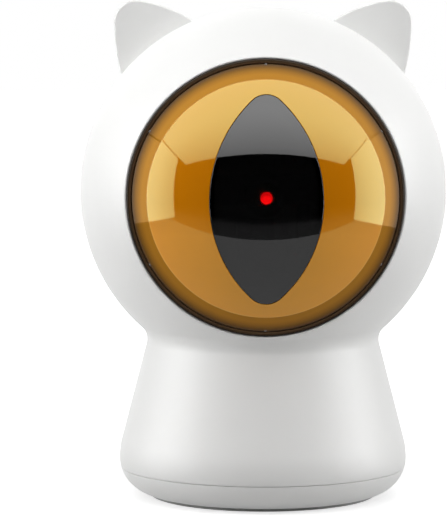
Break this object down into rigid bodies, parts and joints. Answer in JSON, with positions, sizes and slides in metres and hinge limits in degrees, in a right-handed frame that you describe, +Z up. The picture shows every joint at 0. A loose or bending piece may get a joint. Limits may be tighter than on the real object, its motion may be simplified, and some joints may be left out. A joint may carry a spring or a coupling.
{
  "type": "automatic cat laser toy",
  "caption": "Cat-headed tower on a flared base with a domed amber lens, an upright smoked pupil and a laser on a geared pan and tilt mount inside.",
  "frame": {"origin": "on the floor under the middle of the round base", "axes": "+Z up, -Y the way the lens faces, +X to the right of someone who faces the lens"},
  "size_m": [0.098, 0.0966, 0.1329],
  "materials": {
    "shell_white": "satin white moulded plastic, fine spark texture",
    "button_white": "smooth white plastic",
    "foot_rubber": "soft light grey rubber",
    "screw_steel": "zinc-plated steel",
    "bezel_black": "gloss black plastic with a brown cast",
    "dome_amber": "amber tinted, half mirrored, polished",
    "pupil_smoke": "dark smoked, polished",
    "retainer_black": "black moulded plastic",
    "frame_grey": "grey moulded plastic",
    "contact_nickel": "nickel-plated spring steel",
    "cell_wrap": "steel can with a plain printed sleeve",
    "bush_nylon": "natural nylon",
    "motor_steel": "drawn steel",
    "pinion_brass": "turned brass",
    "laser_red": "red lens",
    "board_green": "solder mask",
    "module_metal": "tinned sheet steel",
    "chip_black": "moulded epoxy",
    "pipe_clear": "clear polished plastic"
  },
  "bodies": {
    "housing": {"front_shell": "shell_white", "rear_shell": "shell_white", "base_tray": "shell_white", "foot_ring": "foot_rubber", "shell_screws": "screw_steel", "floor_screws": "screw_steel", "retainer_screws": "screw_steel", "pan_motor_screws": "screw_steel", "board_screws": "screw_steel", "bezel_ring": "bezel_black", "amber_dome": "dome_amber", "pupil_window": "pupil_smoke", "lens_retainer": "retainer_black", "battery_box": "retainer_black", "tact_switch": "retainer_black", "mid_frame": "frame_grey", "battery_contacts": "contact_nickel", "aaa_cells": "cell_wrap", "pan_bush": "bush_nylon", "pan_motor": "motor_steel", "main_board": "board_green", "wifi_module": "module_metal", "usb_socket": "module_metal", "control_chips": "chip_black", "light_pipe": "pipe_clear"},
    "pan_stage": {"pan_yoke": "frame_grey", "pan_clip": "motor_steel", "tilt_motor": "motor_steel", "motor_strap": "retainer_black", "strap_screws": "screw_steel", "tilt_bushes": "bush_nylon"},
    "tilt_cradle": {"laser_cradle": "frame_grey", "laser_barrel": "pinion_brass", "laser_lens": "laser_red"},
    "pan_drive": {"pan_pinion": "pinion_brass", "pan_motor_shaft": "motor_steel"},
    "tilt_drive": {"tilt_pinion": "pinion_brass", "tilt_motor_shaft": "motor_steel"},
    "button": {"power_button": "button_white", "switch_plunger": "bush_nylon"},
    "door": {"battery_door": "shell_white"}
  },
  "joints": [
    {"name": "pan", "type": "hinge", "parent": "housing", "child": "pan_stage", "pos_m": [0, 0, 0.082], "axis": [0, 0, 1], "range_deg": [-15, 15]},
    {"name": "tilt", "type": "hinge", "parent": "pan_stage", "child": "tilt_cradle", "pos_m": [0, 0, 0.082], "axis": [1, 0, 0], "range_deg": [-12, 30]},
    {"name": "pan_pinion_spin", "type": "hinge", "parent": "housing", "child": "pan_drive", "pos_m": [0, -0.018, 0.0389], "axis": [0, 0, 1], "range_deg": [-75, 75]},
    {"name": "tilt_pinion_spin", "type": "hinge", "parent": "pan_stage", "child": "tilt_drive", "pos_m": [0, 0.01032, 0.06726], "axis": [1, 0, 0], "range_deg": [-150, 60]},
    {"name": "button_press", "type": "slide", "parent": "housing", "child": "button", "axis": [0, -1, 0], "range_m": [0, 0.0005], "stiffness_N_per_m": 1500, "springref_m": -0.0005},
    {"name": "door_swing", "type": "hinge", "parent": "housing", "child": "door", "pos_m": [0, 0.0155, 0.0016], "axis": [1, 0, 0], "range_deg": [0, 90]}
  ],
  "couplings": [
    {"joint": "pan_pinion_spin", "follows": "pan", "ratio": -5},
    {"joint": "tilt_pinion_spin", "follows": "tilt", "ratio": -5}
  ]
}
